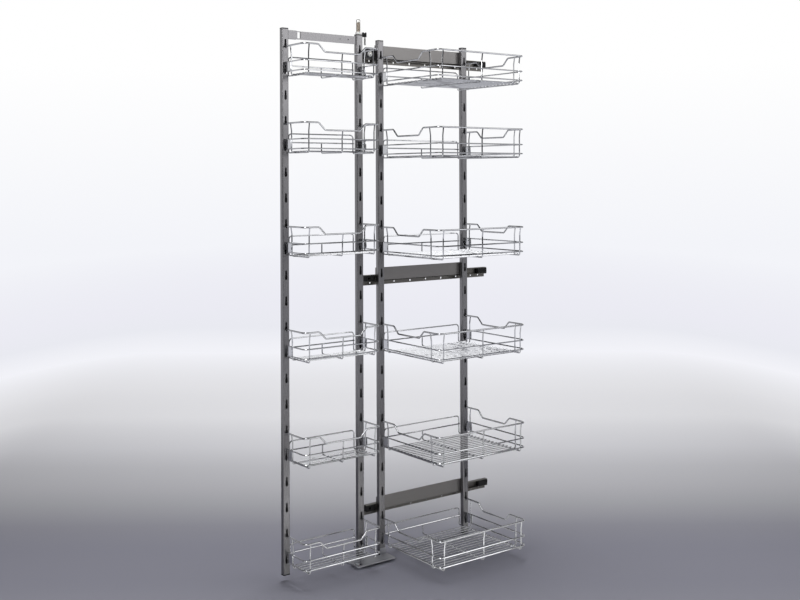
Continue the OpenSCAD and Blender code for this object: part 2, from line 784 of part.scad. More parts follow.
rail_top();
rail_middle();
rail_bottom();
front_blocks();
roller_bracket();
roller_pin();
rear_bumpers();
floor_plate();
floor_bush();
front_roller();
ball_cages();
bearing_balls();
moving_rail_top();
moving_rail_middle();
moving_rail_bottom();
carrier_plate_top();
carrier_plate_middle();
carrier_plate_bottom();
plate_screws();
inner_post_front();
inner_post_back();
inner_post_caps();
drive_yoke();
door_post_outer();
door_post_pivot();
door_post_caps();
top_bar();
bar_connector();
pivot_pin_top();
pin_washer();
pivot_pin_bottom();
pin_clip();
clip_rod();
drive_lever();
drive_roller();
for (i = [1:6]) inner_basket(i);
for (i = [1:6]) inner_grid(i);
for (i = [1:6]) door_basket(i);
for (i = [1:6]) door_grid(i);
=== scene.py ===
import json
import math

import bpy
from mathutils import Matrix, Vector

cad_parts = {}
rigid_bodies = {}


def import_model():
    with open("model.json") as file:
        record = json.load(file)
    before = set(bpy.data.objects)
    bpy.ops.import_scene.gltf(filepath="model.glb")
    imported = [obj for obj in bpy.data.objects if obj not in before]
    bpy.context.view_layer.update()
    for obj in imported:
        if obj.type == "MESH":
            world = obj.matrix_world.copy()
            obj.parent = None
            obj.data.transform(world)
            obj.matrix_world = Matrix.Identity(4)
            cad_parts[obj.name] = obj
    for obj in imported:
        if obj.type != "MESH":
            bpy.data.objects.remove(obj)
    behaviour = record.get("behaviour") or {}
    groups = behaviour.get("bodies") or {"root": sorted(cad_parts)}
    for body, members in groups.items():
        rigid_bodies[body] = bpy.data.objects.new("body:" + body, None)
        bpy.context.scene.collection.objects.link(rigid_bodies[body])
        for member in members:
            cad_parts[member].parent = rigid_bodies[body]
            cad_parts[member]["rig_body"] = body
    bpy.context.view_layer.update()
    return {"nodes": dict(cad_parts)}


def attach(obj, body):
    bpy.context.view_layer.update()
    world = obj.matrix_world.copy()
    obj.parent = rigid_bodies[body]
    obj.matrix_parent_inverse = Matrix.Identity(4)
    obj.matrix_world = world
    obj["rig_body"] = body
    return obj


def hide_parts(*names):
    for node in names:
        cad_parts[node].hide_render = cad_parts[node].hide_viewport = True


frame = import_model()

MM = 0.001
SHARP = math.radians(32)  # edges that turn more than this stay sharp
FLAT = math.radians(0.5)  # triangles that turn less than this are one flat face
NODE_MERGE = 0.000002  # metres: corners of a CAD node this near are one
WIRE_END, WIRE_END_ANGLE = 0.35, math.radians(60)  # the rounding of a cut wire's end


# ---- Working by hand: selecting, starting from a primitive, finishing ----

def choose(*pieces):
    """Leaves object mode with only these pieces selected, the first of them active."""
    if bpy.context.object and bpy.context.object.mode != "OBJECT":
        bpy.ops.object.mode_set(mode="OBJECT")
    bpy.ops.object.select_all(action="DESELECT")
    for piece in pieces:
        piece.select_set(True)
    bpy.context.view_layer.objects.active = pieces[0]
    return pieces[0]


def started(name):
    """The primitive just added, with its turn and size in its mesh."""
    piece = bpy.context.object
    piece.name = piece.data.name = name
    bpy.ops.object.transform_apply(location=True, rotation=True, scale=True)
    return piece


def block(name, low, high):
    """A box between two corners, in millimetres, ready to be shaped."""
    low, high = Vector(low) * MM, Vector(high) * MM
    bpy.ops.mesh.primitive_cube_add(size=1, location=(low + high) / 2, scale=high - low)
    return started(name)


def pick(piece, kind, test):
    """Enters edit mode with only the faces or edges that pass the test.
    A face is tested by its centre and normal, an edge by its middle and direction."""
    choose(piece)
    mesh = piece.data
    bpy.context.tool_settings.mesh_select_mode = (False, kind == "edges", kind == "faces")
    for part in (mesh.vertices, mesh.edges, mesh.polygons):
        part.foreach_set("select", [False] * len(part))
    if kind == "faces":
        for face in mesh.polygons:
            face.select = test(face.center / MM, face.normal)
    else:
        for edge in mesh.edges:
            a, b = (mesh.vertices[v].co for v in edge.vertices)
            edge.select = test((a + b) / 2 / MM, (b - a).normalized())
    bpy.ops.object.mode_set(mode="EDIT")


def draw_out(piece, test, way):
    """Extrudes the faces that pass the test, by a vector in millimetres."""
    pick(piece, "faces", test)
    bpy.ops.mesh.extrude_region_move(TRANSFORM_OT_translate={"value": Vector(way) * MM})
    bpy.ops.object.mode_set(mode="OBJECT")


def tidy_normals(piece, merge=0.00001):
    """Merges doubled points, closes open ends and turns all faces outwards."""
    choose(piece)
    bpy.ops.object.mode_set(mode="EDIT")
    bpy.ops.mesh.select_all(action="SELECT")
    bpy.ops.mesh.remove_doubles(threshold=merge)
    bpy.ops.mesh.fill_holes(sides=0)
    bpy.ops.mesh.select_all(action="SELECT")
    bpy.ops.mesh.normals_make_consistent(inside=False)
    bpy.ops.object.mode_set(mode="OBJECT")


def ease(piece, width, segments=2, angle=SHARP):
    """Rounds off the sharp edges by a width in millimetres, and shades the piece."""
    choose(piece)
    rounding = piece.modifiers.new("rounding", "BEVEL")
    rounding.width = width * MM
    rounding.segments = segments
    rounding.limit_method = "ANGLE"
    rounding.angle_limit = angle
    bpy.ops.object.modifier_apply(modifier=rounding.name)
    bpy.ops.object.shade_smooth_by_angle(angle=SHARP)
    return piece


def level_shading(piece):
    """Lets the large flat faces decide how the small rounded ones by them are shaded."""
    choose(piece)
    weighting = piece.modifiers.new("weighting", "WEIGHTED_NORMAL")
    weighting.keep_sharp = True
    bpy.ops.object.modifier_apply(modifier=weighting.name)
    return piece


def joined(name, pieces):
    """Joins pieces into one, with its place in its mesh."""
    choose(*pieces)
    if len(pieces) > 1:
        bpy.ops.object.join()
    piece = bpy.context.object
    piece.name = piece.data.name = name
    bpy.ops.object.transform_apply(location=True, rotation=True, scale=True)
    return piece


def wire(points, bends, diameter, sides=10, steps=5):
    """A bent wire: a ring drawn out along each straight and spun round each bend.
    Points are in millimetres; bends has the radius at each point, 0 at the ends."""
    points = [Vector(p) * MM for p in points]
    ways = [(b - a).normalized() for a, b in zip(points, points[1:])]
    turns = [0] + [u.angle(v) for u, v in zip(ways, ways[1:])] + [0]
    cuts = [r * MM * math.tan(t / 2) for r, t in zip(bends, turns)]
    bpy.ops.mesh.primitive_circle_add(
        vertices=sides, radius=diameter / 2 * MM, location=points[0],
        rotation=ways[0].to_track_quat("Z", "Y").to_euler())
    piece = started("wire")
    bpy.ops.object.mode_set(mode="EDIT")
    for i, way in enumerate(ways):
        straight = (points[i + 1] - points[i]).length - cuts[i] - cuts[i + 1]
        bpy.ops.mesh.extrude_region_move(TRANSFORM_OT_translate={"value": way * straight})
        if i + 1 < len(ways):
            side = (ways[i + 1] - way * way.dot(ways[i + 1])).normalized()
            bpy.ops.mesh.spin(
                steps=max(2, math.ceil(steps * turns[i + 1] / (math.pi / 2))),
                angle=turns[i + 1], axis=-way.cross(side),
                center=points[i + 1] - way * cuts[i + 1] + side * bends[i + 1] * MM)
    bpy.ops.object.mode_set(mode="OBJECT")
    tidy_normals(piece)
    return ease(piece, WIRE_END, 1, WIRE_END_ANGLE)


def turned(name, foot, axis, profile, sides=40):
    """A turned piece: a ring drawn out and narrowed or widened along its axis.
    The profile has (radius, distance from the foot) in millimetres. A bored piece's
    profile goes round its wall and comes back to where it started."""
    foot, axis = Vector(foot) * MM, Vector(axis)
    first_r, first_h = profile[0]
    bpy.ops.mesh.primitive_circle_add(
        vertices=sides, radius=first_r * MM, location=foot + axis * first_h * MM,
        rotation=axis.to_track_quat("Z", "Y").to_euler())
    piece = started(name)
    bpy.ops.object.mode_set(mode="EDIT")
    for (r0, h0), (r1, h1) in zip(profile, profile[1:]):
        bpy.ops.mesh.extrude_region_move(
            TRANSFORM_OT_translate={"value": axis * (h1 - h0) * MM})
        bpy.ops.transform.resize(
            value=[1 if abs(a) > 0.5 else r1 / r0 for a in axis],
            center_override=foot + axis * h1 * MM)
    bpy.ops.object.mode_set(mode="OBJECT")
    tidy_normals(piece)
    choose(piece)
    bpy.ops.object.shade_smooth_by_angle(angle=SHARP)
    return piece


def moved_copy(piece, name, way):
    """A copy with its own mesh, moved by a vector in millimetres."""
    copy = piece.copy()
    copy.data = piece.data.copy()
    bpy.context.scene.collection.objects.link(copy)
    copy.name = copy.data.name = name
    choose(copy)
    bpy.ops.transform.translate(value=Vector(way) * MM)
    bpy.ops.object.transform_apply(location=True, rotation=True, scale=True)
    return copy


def merged_copy(node):
    """A copy of a CAD node whose loose triangles are merged into whole flat faces."""
    piece = bpy.data.objects.new(node + "_eased", frame["nodes"][node].data.copy())
    bpy.context.scene.collection.objects.link(piece)
    choose(piece)
    bpy.ops.mesh.customdata_custom_splitnormals_clear()
    bpy.ops.object.mode_set(mode="EDIT")
    bpy.ops.mesh.select_all(action="SELECT")
    bpy.ops.mesh.remove_doubles(threshold=NODE_MERGE)
    bpy.ops.mesh.dissolve_limited(angle_limit=FLAT)
    bpy.ops.object.mode_set(mode="OBJECT")
    return piece


def fitted(piece, surface, slot, *nodes):
    """Gives a finished piece its material, its body and the nodes that it stands for."""
    piece.data.materials.clear()
    piece.data.materials.append(surface)
    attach(piece, frame["nodes"][nodes[0]]["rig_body"])
    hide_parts(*nodes)
    return piece


# ---- Materials ----

def colour(code):
    """An sRGB hex colour as linear values."""
    parts = [int(code[i:i + 2], 16) / 255 for i in (1, 3, 5)]
    return [c / 12.92 if c <= 0.04045 else ((c + 0.055) / 1.055) ** 2.4
            for c in parts] + [1]


def add(tree, kind, settings={}, **inputs):
    """Adds a node with its settings. An input is a value, or a (node, output) to link."""
    made = tree.nodes.new(kind)
    for name, value in settings.items():
        setattr(made, name, value)
    for name, value in inputs.items():
        socket = made.inputs[int(name[1:])] if name[0] == "i" and name[1:].isdigit() \
            else made.inputs[name.replace("_", " ")]
        if isinstance(value, tuple) and isinstance(value[0], bpy.types.Node):
            tree.links.new(value[0].outputs[value[1]], socket)
        else:
            socket.default_value = value
    return made


def blank(name):
    """A material with an empty tree, and the tree."""
    made = bpy.data.materials.new(name)
    made.use_nodes = True
    made.node_tree.nodes.clear()
    return made, made.node_tree


def finish(name, scale, tones, rough, depth, detail=3.0, **values):
    """A finish of the object. Noise on stretched Object coordinates gives its grain, in
    repeats per metre along each axis, with two tones, two roughnesses and a depth in
    millimetres. The values go to the surface shader's own sockets."""
    made, tree = blank(name)
    surface = add(tree, "ShaderNodeBsdfPrincipled", **values)
    add(tree, "ShaderNodeOutputMaterial", Surface=(surface, "BSDF"))
    place = add(tree, "ShaderNodeTexCoord")
    stretch = add(tree, "ShaderNodeMapping", Vector=(place, "Object"), Scale=scale)
    grain = add(tree, "ShaderNodeTexNoise", Vector=(stretch, "Vector"), Scale=1.0,
                Detail=detail, Roughness=0.6)
    tone = add(tree, "ShaderNodeMix", {"data_type": "RGBA"}, Factor=(grain, "Fac"),
               i6=colour(tones[0]), i7=colour(tones[1]))
    # most of the noise lies between these two values
    gloss = add(tree, "ShaderNodeMapRange", Value=(grain, "Fac"),
                i1=0.3, i2=0.7, i3=rough[0], i4=rough[1])
    bump = add(tree, "ShaderNodeBump", Height=(grain, "Fac"), Strength=0.6,
               Distance=depth * MM)
    tree.links.new(tone.outputs[2], surface.inputs["Base Color"])
    tree.links.new(gloss.outputs[0], surface.inputs["Roughness"])
    tree.links.new(bump.outputs[0], surface.inputs["Normal"])
    return made


# Drawn steel tube with a satin nickel finish: fine lines run along the tube, 0.8 mm
# apart. The real ones are finer; they are drawn as coarse as it takes for them to show.
satin_tube = finish("satin_nickel_drawn_tube", (1250, 1250, 4), ("#727173", "#7f7e80"),
                    (0.24, 0.33), 0.02, Metallic=1.0)

# Zinc-plated rolled steel strip: the lines run along the rails, about 1 mm apart and
# coarser than the real ones, so that they show; the plating is slightly cloudy.
zinc_strip = finish("zinc_plated_rolled_strip", (10, 900, 900), ("#5d5b58", "#6e6c69"),
                    (0.34, 0.48), 0.02, Metallic=1.0)

# Burnished dark steel plate, grey with a brown cast: brushed lines along its length,
# about 1.4 mm apart, again as coarse as they need to be to show.
dark_plate = finish("burnished_dark_steel_plate", (14, 700, 700), ("#737170", "#7f7d7c"),
                    (0.32, 0.42), 0.02, Metallic=0.9)

# Chrome-plated wire: a polished bright skin whose gloss only wavers over the 20 mm
# of a drawn wire's slight waves.
chrome_wire = finish("chrome_plated_wire", (50, 50, 50), ("#b6b7ba", "#c5c6c9"),
                     (0.06, 0.12), 0.05, Metallic=1.0)

# Bright zinc-plated screws and balls: small parts tumbled in a barrel, with faint
# marks about 1.7 mm apart.
bright_zinc = finish("bright_zinc_plated_steel", (600, 600, 600), ("#b4b3ae", "#c6c6c4"),
                     (0.16, 0.28), 0.02, Metallic=1.0)

# Turned steel pin, greased and slightly browned: the tool marks run round it, every
# 0.6 mm.
turned_pin = finish("turned_steel_browned", (40, 40, 1600), ("#6f675e", "#857c72"),
                    (0.28, 0.4), 0.02, Metallic=1.0)

# Dull zinc-plated steel of the yoke, lever and floor plate: soft spangle, 5 mm across.
dull_zinc = finish("dull_zinc_plated_steel", (200, 200, 200), ("#9c9ca2", "#abacb2"),
                   (0.45, 0.58), 0.03, Metallic=0.7)

# Moulded black nylon: a spark-eroded mould leaves pits about 0.7 mm apart.
black_nylon = finish("moulded_black_nylon", (1400, 1400, 1400), ("#0b0b0c", "#141416"),
                     (0.74, 0.86), 0.05, 2.0, IOR=1.45)

# Dark grey lacquered steel of the roller bracket: an orange-peel skin, 2 mm apart.
grey_lacquer = finish("dark_grey_lacquered_steel", (500, 500, 500),
                      ("#37373a", "#424246"), (0.55, 0.68), 0.06, 2.0, IOR=1.5)

# Machined white acetal: faintly waxy, nearly smooth.
white_acetal = finish("white_acetal", (500, 500, 500), ("#dcdcda", "#e6e6e4"),
                      (0.32, 0.42), 0.02, 2.0, IOR=1.48, Subsurface_Weight=0.05,
                      Subsurface_Scale=0.001)


# ---- Baskets. Each is modelled from the centre of its left slot on the post's face,
# in millimetres, with its depth along -Y and its width along +X ----

RIM_D, RAIL_D, BASE_D = 5, 4, 3  # wires
RIM_H, MID_H, LOW_H, FENCE_H = 68, 20.5, -7.7, 38
# the base lies on the runs, clear of the low wire; in the CAD it is 4 mm higher
BASE_H, UNDER_H = -15.25, -18.85
INSIDE = 3.6  # an upright stands this far inside the wires that it is welded to
LOW_TOUCH, RIM_TOUCH = 1.8, 2.4  # from a wire's middle to its weld
FENCE_Y, FENCE_MID = 13.5, 12  # between the posts, flush with their backs
FENCE_END = 17  # the fence's middle wire is this much shorter at each end
CORNER, KNEE, FOOT_BEND, FENCE_BEND, END_BEND = 15, 9, 6, 10, 4  # radii
RIM_IN, RIM_DROP = 4.3, 12  # the rim's end goes into the post and down
DIP = 22  # the rim's dip, which is as long in each slope as it is deep
SIDE_DIP_BACK, SIDE_DIP_FRONT, FRONT_DIP = 65, 75, 50  # from the ends to the slopes
LEAN, LEAN_H, LEAN_BEND = 3.3, 44, 12  # above LEAN_H the uprights lean out to the rim
MIDDLE_LEAN = 24  # below the rim, on the middle upright
UPRIGHT_BACK, UPRIGHT_FRONT = 28, 43  # side uprights, from the post and from the front
SIDE_BACK = 0.5  # the low and middle wires end this far in front of the posts
UPRIGHT_END = 2  # the leaning uprights end in the rim wire, this far below its middle
RIM_WELD = 0.3  # their welds stand this far inside it
RUN_IN, STUB_END = 18, 15.9  # the outer runs, and the side uprights' feet that meet them
BASE_IN, BASE_PITCH, BASE_BACK, BASE_FRONT = 14.5, 17, 19.5, 13.5
HOOK_HALF, HOOK_TAB = 1.25, 13.5  # half of the hook plate's steel, and the tab's underside
WELD_R, WELD_SHAPE = 2.1, (1.25, 0.9, 0.8)
SLOT_PITCH = 76
LEVELS = (1, 4, 8, 12, 16, 20)  # slots from the top that carry a basket


def mirrored(points, span):
    """The points again for a basket's other half, from its middle on."""
    return [(span - x, y, z) for x, y, z in reversed(points)]


def hook_plate(x):
    """A flat plate between the low and middle wires, with a tab that hooks in the slot."""
    plate = block("hook_plate", (x - HOOK_HALF, -6, LOW_H), (x + HOOK_HALF, -0.3, 4))
    # forwards along the side wires, up to the middle wire, and down beside the post
    draw_out(plate, lambda c, n: n.y < -0.9, (0, -26, 0))
    draw_out(plate, lambda c, n: n.z > 0.9, (0, 0, MID_H - 4))
    draw_out(plate, lambda c, n: n.z < -0.9 and c.y > -6, (0, 0, -HOOK_TAB - LOW_H))
    # back through the slot, and down behind the post's face
    draw_out(plate, lambda c, n: n.y > 0.9 and c.z < 4, (0, 2.1, 0))
    draw_out(plate, lambda c, n: n.y > 0.9 and c.z < 4 and c.y > 1, (0, 3, 0))
    draw_out(plate, lambda c, n: n.z < -0.9 and c.y > 2, (0, 0, -7))
    pick(plate, "edges",
         lambda m, way: abs(way.x) > 0.9 and (m.y < -31 or m.z < -20 or m.y > 4))
    bpy.ops.mesh.bevel(offset=1.4 * MM, segments=3)
    bpy.ops.object.mode_set(mode="OBJECT")
    return ease(plate, 0.25, 1)


def weld(x, y, z, along="x"):
    """A small bead where two wires are welded, of few faces because there are many."""
    long, wide, flat = WELD_SHAPE
    bpy.ops.mesh.primitive_ico_sphere_add(
        subdivisions=1, radius=WELD_R * MM, location=Vector((x, y, z)) * MM,
        scale=(long, wide, flat) if along == "x" else (wide, long, flat))
    piece = started("weld")
    bpy.ops.object.shade_smooth()
    return piece


def basket(name, span, depth, side_dip):
    """A basket without its base. The rim of a deep one dips at its sides, and the rim
    of a shallow one dips in front."""
    front = -depth + INSIDE
    side = [(0, RIM_IN, RIM_H - RIM_DROP), (0, RIM_IN, RIM_H)]
    bends = [0, END_BEND]
    if side_dip:
        side += [(0, -SIDE_DIP_BACK, RIM_H), (0, -SIDE_DIP_BACK - DIP, RIM_H - DIP),
                 (0, SIDE_DIP_FRONT - depth + DIP, RIM_H - DIP),
                 (0, SIDE_DIP_FRONT - depth, RIM_H), (0, -depth, RIM_H)]
        bends += [KNEE] * 4 + [CORNER]
    else:
        side += [(0, -depth, RIM_H), (FRONT_DIP, -depth, RIM_H),
                 (FRONT_DIP + DIP, -depth, RIM_H - DIP)]
        bends += [CORNER, KNEE, KNEE]
    parts = [wire(side + mirrored(side, span), bends + bends[::-1], RIM_D, 12)]
    for h in (MID_H, LOW_H):
        loop = [(0, -SIDE_BACK, h), (0, -depth, h)]
        parts.append(wire(loop + mirrored(loop, span), [0, CORNER, CORNER, 0], RAIL_D))
    # one wire makes the front uprights, two runs under the base, and the back fence
    long_run = [(RUN_IN, front - LEAN, RIM_H - UPRIGHT_END), (RUN_IN, front, LEAN_H),
                (RUN_IN, front, UNDER_H), (RUN_IN, FENCE_Y, UNDER_H),
                (RUN_IN, FENCE_Y, FENCE_H)]
    long_bends = [0, LEAN_BEND, FOOT_BEND, FOOT_BEND, FENCE_BEND]
    parts.append(wire(long_run + mirrored(long_run, span),
                      long_bends + long_bends[::-1], RAIL_D))
    middle, middle_top = span / 2, RIM_H if side_dip else RIM_H - DIP
    parts.append(wire(
        [(middle, front - LEAN, middle_top - UPRIGHT_END),
         (middle, front, middle_top - MIDDLE_LEAN),
         (middle, front, UNDER_H), (middle, FENCE_Y, UNDER_H),
         (middle, FENCE_Y, FENCE_MID + 1)],
        [0, LEAN_BEND, FOOT_BEND, FOOT_BEND, 0], RAIL_D))
    fence_wire = [(FENCE_END, FENCE_Y - INSIDE, FENCE_MID)]
    parts.append(wire(fence_wire + mirrored(fence_wire, span), [0, 0], RAIL_D))
    rows = [-UPRIGHT_BACK, UPRIGHT_FRONT - depth] if side_dip else [-UPRIGHT_BACK]
    for y in rows:
        upright = [(STUB_END, y, UNDER_H), (INSIDE, y, UNDER_H), (INSIDE, y, LEAN_H),
                   (INSIDE - LEAN, y, RIM_H - UPRIGHT_END)]
        parts.append(wire(upright, [0, FOOT_BEND, LEAN_BEND, 0], RAIL_D))
        parts.append(wire(mirrored(upright, span), [0, LEAN_BEND, FOOT_BEND, 0], RAIL_D))
        parts += [weld(x, y, h, "y") for h in (MID_H, LOW_H)
                  for x in (LOW_TOUCH, span - LOW_TOUCH)]
        parts += [weld(x, y, RIM_H - RIM_TOUCH, "y") for x in (RIM_WELD, span - RIM_WELD)]
    parts += [weld(x, front - LOW_TOUCH, h) for h in (MID_H, LOW_H)
              for x in (RUN_IN, middle, span - RUN_IN)]
    parts += [hook_plate(0), hook_plate(span)]
    return joined(name, parts)


def grid(name, span, depth):
    """The base: straight wires welded across the runs under it."""
    count = int((depth - BASE_BACK - BASE_FRONT) // BASE_PITCH) + 1
    parts = []
    for i in range(count):
        y = -BASE_BACK - BASE_PITCH * i
        parts.append(wire([(BASE_IN, y, BASE_H), (span - BASE_IN, y, BASE_H)],
                          [0, 0], BASE_D, 8))
        parts += [weld(x, y, BASE_H - LOW_TOUCH, "y")
                  for x in (RUN_IN, span / 2, span - RUN_IN)]
    return joined(name, parts)


# the highest slot's place, the distance between the posts, the depth, and whether the
# rim dips at its sides
SIDES = {
    "inner": (Vector((80, -8, 1573)), 341, 290, True),
    "door": (Vector((-266, -8, 1585.5)), 266, 103.5, False),
}
for side, (slot, span, depth, side_dip) in SIDES.items():
    first_basket = basket(side + "_wire_basket", span, depth, side_dip)
    first_grid = grid(side + "_wire_base", span, depth)
    for i, level in enumerate(LEVELS, 1):
        way = slot - Vector((0, 0, level * SLOT_PITCH))
        for model, kind in ((first_basket, "basket"), (first_grid, "grid")):
            copy = moved_copy(model, f"{model.name}_{i}", way)
            fitted(copy, chrome_wire, "chrome_wire", f"{side}_{kind}_{i}")
    for model in (first_basket, first_grid):
        bpy.data.objects.remove(model)


# ---- Pivot, clip, rollers and screws, in millimetres ----

POST_TOP = 1632.5  # of the door posts
PIN_FOOT = POST_TOP - 16
PIN_HIGHLIGHT_FOOT = PIN_FOOT + 53.6  # above this the upper pin's rounded tip gets the brighter zinc, a painted highlight
ROLLER_X, ROLLER_H = 50, 1576.5  # the roller at the top rail's front end
LEVER_R = 32  # the lever's roller stands this far in front of the pivot and beside it
ROD_X, ROD_FOOT = 24.6, POST_TOP - 31  # the rod hangs in the clip
# the top carrier plate's front screw, the back one's distance, and the plates below
SCREW_X, SCREW_H, SCREW_APART = 80, 1598, 341
PLATES_DOWN = (0, -700, -1420)

pin = turned("upper_pivot_pin", (0, 0, PIN_FOOT), (0, 0, 1), [
    (3.6, 0), (4, 0.4), (4, 25), (5.9, 25), (6.25, 25.4), (6.25, 52), (5.4, 52.3),
    (5.4, 53.4), (6.25, 53.8), (6.25, 60), (5.9, 61.3), (5.2, 62.3), (4.25, 63)])
fitted(pin, turned_pin, "pin_steel", "pivot_pin_top")
# the tip's bright zinc is a painted highlight where light falls on its rounded top
pin.data.materials.append(bright_zinc)
for face in pin.data.polygons:
    if face.center.z > PIN_HIGHLIGHT_FOOT * MM:
        face.material_index = 1

washer = turned("pivot_washer", (0, 0, POST_TOP), (0, 0, 1), [
    (4.1, 0), (9.5, 0), (10, 0.5), (10, 1.4), (7.9, 8.5), (7.5, 9), (4.6, 9), (4.1, 8.6),
    (4.1, 0)])
fitted(washer, white_acetal, "white_nylon", "pin_washer")

pin = turned("lower_pivot_pin", (0, 0, 5.3), (0, 0, 1), [
    (5.3, 0), (6, 0.7), (6, 12.5), (5.6, 12.9), (4, 12.9), (4, 30.6), (3.4, 31.2)])
fitted(pin, turned_pin, "satin_steel", "pivot_pin_bottom")

bush = turned("floor_bush_blind", (0, 0, 4), (0, 0, 1), [
    (9.5, 0), (10, 0.5), (10, 8.95), (9.5, 9.45), (6.5, 9.45), (6.05, 9), (6.05, 1)])
fitted(bush, white_acetal, "white_nylon", "floor_bush")

roller = turned("nose_roller", (ROLLER_X, 12, ROLLER_H), (0, -1, 0), [
    (2.05, 0), (7.2, 0), (7.8, 0.3), (8, 0.9), (8, 5.1), (7.8, 5.7), (7.2, 6), (5.4, 6),
    (5, 5.5), (3.9, 5.5), (3.5, 6), (2.05, 6), (2.05, 0)])
fitted(roller, white_acetal, "white_nylon", "front_roller")

roller = turned("lever_roller", (-LEVER_R, -LEVER_R, 6), (0, 0, 1), [
    (3.05, 0), (6.4, 0), (7, 0.6), (7, 7.3), (6.4, 7.9), (3.05, 7.9), (3.05, 0)])
fitted(roller, white_acetal, "white_nylon", "drive_roller")

rivet = turned("nose_roller_pin", (ROLLER_X, 19, ROLLER_H), (0, -1, 0), [
    (1.6, 0), (2, 0.4), (2, 13.3), (3.2, 13.3), (3.5, 13.6), (3.4, 14), (2.8, 14.4),
    (1.6, 14.5)])
fitted(rivet, bright_zinc, "bright_hardware", "roller_pin")

rod = turned("release_rod", (ROD_X, 0, ROD_FOOT), (0, 0, 1), [
    (1.9, 0), (2.6, 0.3), (3, 1), (3, 34.4), (2.4, 35)])
fitted(rod, bright_zinc, "bright_hardware", "clip_rod")

# the clip: a web, a block in three parts, and a lobe on the outer two
WEB_TOP = POST_TOP - 1
clip = block("release_clip_two_lobed", (15.8, -3.5, WEB_TOP - 5), (19.8, 3.5, WEB_TOP))
draw_out(clip, lambda c, n: n.x > 0.9, (5.5, 0, 0))
draw_out(clip, lambda c, n: n.x > 0.9, (4, 0, 0))
draw_out(clip, lambda c, n: n.x < -0.9, (-4.5, 0, 0))
draw_out(clip, lambda c, n: n.z > 0.9 and c.x > 15.8, (0, 0, 6.5))
draw_out(clip, lambda c, n: n.z > 0.9 and 15.8 < c.x and abs(c.x - 22.5) > 3, (0, 0, 3))
fitted(level_shading(ease(clip, 0.8, 3)), black_nylon, "black_plastic", "pin_clip")

# one pan-head screw with a round recess, copied to the six places
screw = turned("plate_screw", (SCREW_X, 13.2, SCREW_H), (0, -1, 0), [
    (1.5, 1.2), (1.5, 0.2), (2.1, 0), (3.2, 0.3), (4, 1.2), (4, 2.2), (2.4, 2.2),
    (2.4, 8.2), (1.2, 9.7)], 20)
screws = [moved_copy(screw, "plate_screw", (x, 0, z))
          for x in (0, SCREW_APART) for z in PLATES_DOWN]
bpy.data.objects.remove(screw)
fitted(joined("plate_screws_six", screws), bright_zinc, "bright_hardware", "plate_screws")

# ---- Pieces whose CAD shape is right: copies with eased edges. Each group has its
# finish, the record's slot, and each node's easing in millimetres ----

EASED = (
    (satin_tube, "satin_steel", {
        "inner_post_front": 0.3, "inner_post_back": 0.3, "door_post_outer": 0.3,
        "door_post_pivot": 0.3, "top_bar": 0.4, "bar_connector": 0.5}),
    (dark_plate, "plate_steel", {
        "carrier_plate_top": 0.5, "carrier_plate_middle": 0.5,
        "carrier_plate_bottom": 0.5}),
    (grey_lacquer, "plate_steel", {"roller_bracket": 0.4}),
    (dull_zinc, "plate_steel", {"drive_yoke": 0.5, "drive_lever": 0.5, "floor_plate": 0.5}),
    (zinc_strip, "satin_steel", {
        "rail_top": 0.3, "rail_middle": 0.3, "rail_bottom": 0.3, "moving_rail_top": 0.3,
        "moving_rail_middle": 0.3, "moving_rail_bottom": 0.3}),
    (black_nylon, "black_plastic", {
        "inner_post_caps": 0.3, "door_post_caps": 0.3, "front_blocks": 0.6,
        "rear_bumpers": 0.8}),
)
for surface, slot, nodes in EASED:
    for node, width in nodes.items():
        fitted(level_shading(ease(merged_copy(node), width)), surface, slot, node)

CARRIED_OVER = {"ball_cages": zinc_strip, "bearing_balls": bright_zinc}
for node, surface in CARRIED_OVER.items():
    frame["nodes"][node].data.materials.clear()
    frame["nodes"][node].data.materials.append(surface)


# ---- Studio, in metres ----

CENTRE = (0.08, -0.10, 0.0)
LOOK = math.radians(36.565)  # the camera's heading, from +Y towards +X
FLOOR_R, FLOOR_H = 16.0, -0.0005  # half a millimetre under the object's foot
# the paper's tones, by the distance from a line across the set; the grey near the set is
# painted shade, the pale tones further out are the plain paper
PAPER_TONES_WITH_PAINTED_SHADE = ((0.0, "#888893"), (0.16, "#888893"), (0.36, "#8e8e97"), (0.576, "#a3a3a9"),
         (0.832, "#b8b8bd"), (1.12, "#c9c9ce"), (1.44, "#e1e1e6"), (2.04, "#fbfbff"),
         (2.8, "#fbfbff"), (5.24, "#e9eaf1"), (6.56, "#ebebf3"), (FLOOR_R, "#f3f4f9"))


def seen_rays(tree):
    """What the camera, a mirror or a pane sees directly: 1 for such a ray, 0 for others."""
    rays = add(tree, "ShaderNodeLightPath")
    seen = (rays, "Is Camera Ray")
    for kind in ("Is Glossy Ray", "Is Transmission Ray"):
        seen = (add(tree, "ShaderNodeMath", {"operation": "ADD", "use_clamp": True},
                    i0=seen, i1=(rays, kind)), "Value")
    return seen


bpy.ops.mesh.primitive_circle_add(vertices=96, radius=FLOOR_R, fill_type="NGON",
                                  location=(CENTRE[0], CENTRE[1], FLOOR_H))
floor = started("studio_floor")
paper, tree = blank("studio_paper")
place = add(tree, "ShaderNodeTexCoord")
centred = add(tree, "ShaderNodeMapping", Vector=(place, "Object"),
              Location=(-CENTRE[0], -CENTRE[1], 0))
